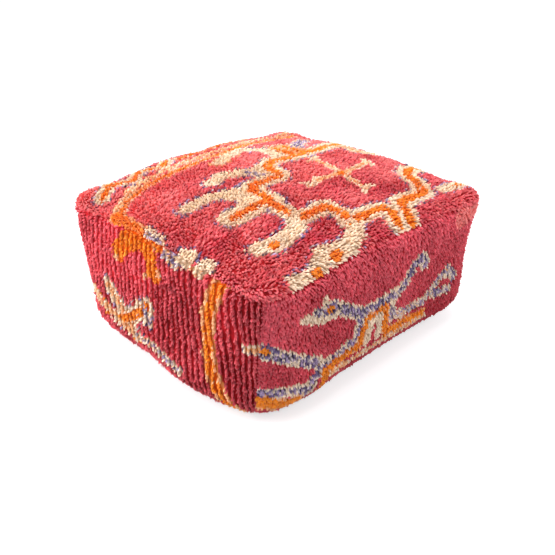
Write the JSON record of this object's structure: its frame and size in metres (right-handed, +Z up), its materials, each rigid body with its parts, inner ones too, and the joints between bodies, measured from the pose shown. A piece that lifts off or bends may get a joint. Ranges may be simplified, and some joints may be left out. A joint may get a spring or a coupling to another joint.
{
  "type": "floor pouf",
  "caption": "Square floor pouf sewn from knotted wool rug, with a zipped cotton base over a lined, padded filling.",
  "frame": {"origin": "on the floor under the pouf's centre", "axes": "+Z up, +X along the rug band's width, -Y towards the front face of the band; the end panels face +X and -X"},
  "size_m": [0.6, 0.5604, 0.31],
  "materials": {
    "rug_band": "raspberry wool pile with orange, cream and lilac figures",
    "rug_end": "deep crimson ribbed wool pile with orange, cream and lilac figures",
    "base_cotton": "unbleached cotton canvas",
    "zip_tape": "woven zip tape",
    "zip_brass": "aged brass",
    "calico": "calico",
    "foam": "cream upholstery foam",
    "wadding": "loose white wadding"
  },
  "bodies": {
    "cover": {"rug_wrap_panel": "rug_band", "rug_end_panel_left": "rug_end", "rug_end_panel_right": "rug_end", "base_cloth_front": "base_cotton", "base_cloth_back": "base_cotton", "base_tab_left": "base_cotton", "base_tab_right": "base_cotton", "zip_tape_front": "zip_tape", "zip_tape_back": "zip_tape", "zip_teeth_front": "zip_brass", "zip_teeth_back": "zip_brass", "zip_top_stops": "zip_brass", "zip_bottom_stop": "zip_brass", "liner_top": "calico", "liner_gusset": "calico", "liner_bottom": "calico", "foam_core": "foam", "wadding_upper": "wadding", "wadding_lower": "wadding"},
    "zip_slider": {"zip_slider": "zip_brass"},
    "zip_pull": {"zip_pull": "zip_brass"}
  },
  "joints": [
    {"name": "zip_slider_slide", "type": "slide", "parent": "cover", "child": "zip_slider", "axis": [1, 0, 0], "range_m": [-0.336, 0], "deforming": ["zip_teeth_front", "zip_teeth_back"]},
    {"name": "zip_pull_hinge", "type": "hinge", "parent": "zip_slider", "child": "zip_pull", "pos_m": [0.1682, 0, 0.0058], "axis": [0, 1, 0], "range_deg": [-159, 8]}
  ]
}
